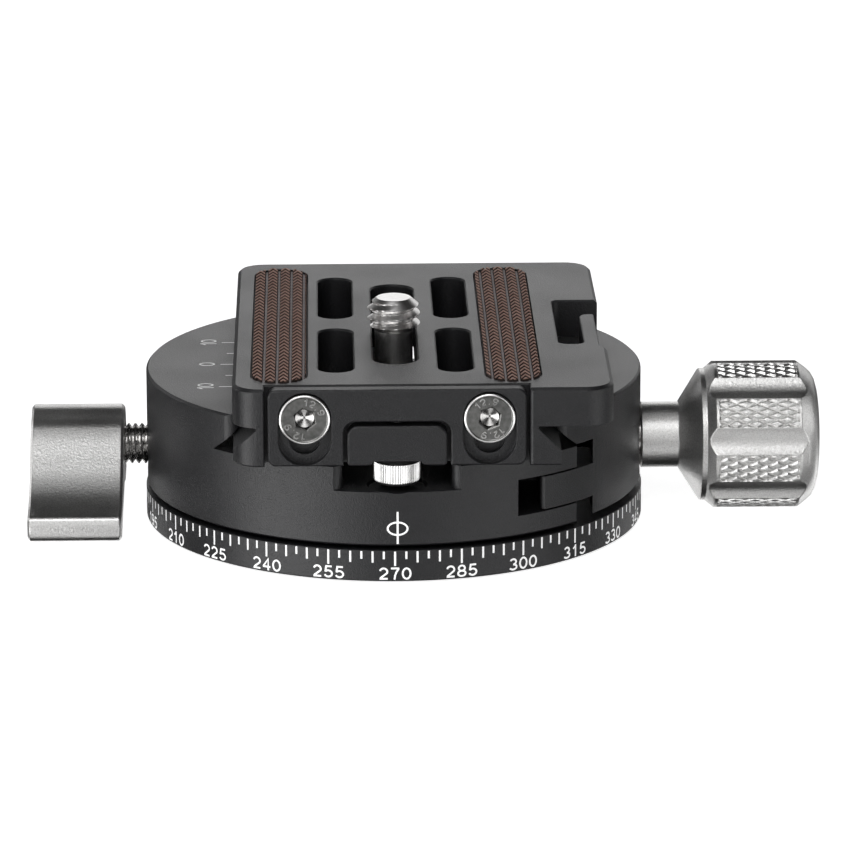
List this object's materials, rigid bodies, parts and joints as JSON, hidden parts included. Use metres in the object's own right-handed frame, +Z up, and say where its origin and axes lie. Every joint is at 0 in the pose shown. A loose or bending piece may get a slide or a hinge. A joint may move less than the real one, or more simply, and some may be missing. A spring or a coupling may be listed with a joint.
{
  "type": "panoramic tripod head",
  "caption": "Round panning quick-release clamp on a graduated base, with a side clamp knob, a pan lock lever and a sliding camera plate with rubber strips and an anti-twist flange.",
  "frame": {"origin": "on the pan axis, in the plane of the base's underside, at the mouth of the tripod thread", "axes": "+Z up along the pan axis, +X towards the clamp knob, -Y towards the index mark and the anti-twist flange"},
  "size_m": [0.0954, 0.0604, 0.0273],
  "materials": {
    "black_anodised": "fine bead-blasted, black anodised, satin",
    "silver_aluminium": "bead-blasted, clear anodised, satin",
    "steel": "plain machined",
    "polished_steel": "bright turned",
    "brass": "turned",
    "white_polymer": "plain, low friction",
    "brown_rubber": "moulded, chevron ribs"
  },
  "bodies": {
    "base": {"graduated_base": "black_anodised", "tripod_thread_insert": "steel", "lower_thrust_washer": "white_polymer", "upper_thrust_washer": "white_polymer", "retaining_plate": "steel", "retaining_screw_1": "steel", "retaining_screw_2": "steel", "retaining_screw_3": "steel"},
    "clamp": {"clamp_body": "black_anodised", "clamp_nut": "brass", "cover_disc": "black_anodised", "jaw_spring_front": "steel", "jaw_spring_rear": "steel"},
    "jaw": {"moving_jaw": "black_anodised"},
    "clamp_knob": {"clamp_knob": "silver_aluminium", "clamp_screw": "steel", "clamp_thrust_washer": "steel"},
    "lock_pad": {"lock_pad": "brass"},
    "lock_knob": {"lock_knob": "silver_aluminium", "lock_screw": "steel"},
    "plate": {"camera_plate": "black_anodised", "rubber_strip_left": "brown_rubber", "rubber_strip_right": "brown_rubber", "flange_screw_left": "steel", "flange_screw_right": "steel", "safety_screw_front": "steel", "safety_screw_rear": "steel"},
    "flange": {"anti_twist_flange": "black_anodised"},
    "screw_washer": {"camera_screw_washer": "white_polymer"},
    "camera_screw": {"camera_screw": "polished_steel"}
  },
  "joints": [
    {"name": "pan", "type": "hinge", "parent": "base", "child": "clamp", "pos_m": [0, 0, 0], "axis": [0, 0, 1], "continuous": true},
    {"name": "clamp_turn", "type": "hinge", "parent": "jaw", "child": "clamp_knob", "pos_m": [0.0233, 0, 0.00905], "axis": [1, 0, 0], "range_deg": [0, 2160.5]},
    {"name": "jaw_slide", "type": "slide", "parent": "clamp", "child": "jaw", "axis": [1, 0, 0], "range_m": [0, 0.0048]},
    {"name": "lock_turn", "type": "hinge", "parent": "lock_pad", "child": "lock_knob", "pos_m": [-0.03, 0, 0.00846], "axis": [1, 0, 0], "range_deg": [-360.5, 0]},
    {"name": "lock_advance", "type": "slide", "parent": "clamp", "child": "lock_pad", "axis": [1, 0, 0], "range_m": [-0.0008, 0]},
    {"name": "plate_slide", "type": "slide", "parent": "clamp", "child": "plate", "axis": [0, 1, 0], "range_m": [-0.01, 0.01]},
    {"name": "flange_raise", "type": "slide", "parent": "plate", "child": "flange", "axis": [0, 0, 1], "range_m": [0, 0.0025]},
    {"name": "camera_screw_slide", "type": "slide", "parent": "plate", "child": "screw_washer", "axis": [0, 1, 0], "range_m": [-0.013, 0.019]},
    {"name": "camera_screw_turn", "type": "hinge", "parent": "screw_washer", "child": "camera_screw", "pos_m": [0, -0.003, 0.0233], "axis": [0, 0, 1], "continuous": true}
  ],
  "couplings": [
    {"joint": "clamp_turn", "follows": "jaw_slide", "rad_per_m": 7854},
    {"joint": "lock_turn", "follows": "lock_advance", "rad_per_m": 7854}
  ]
}
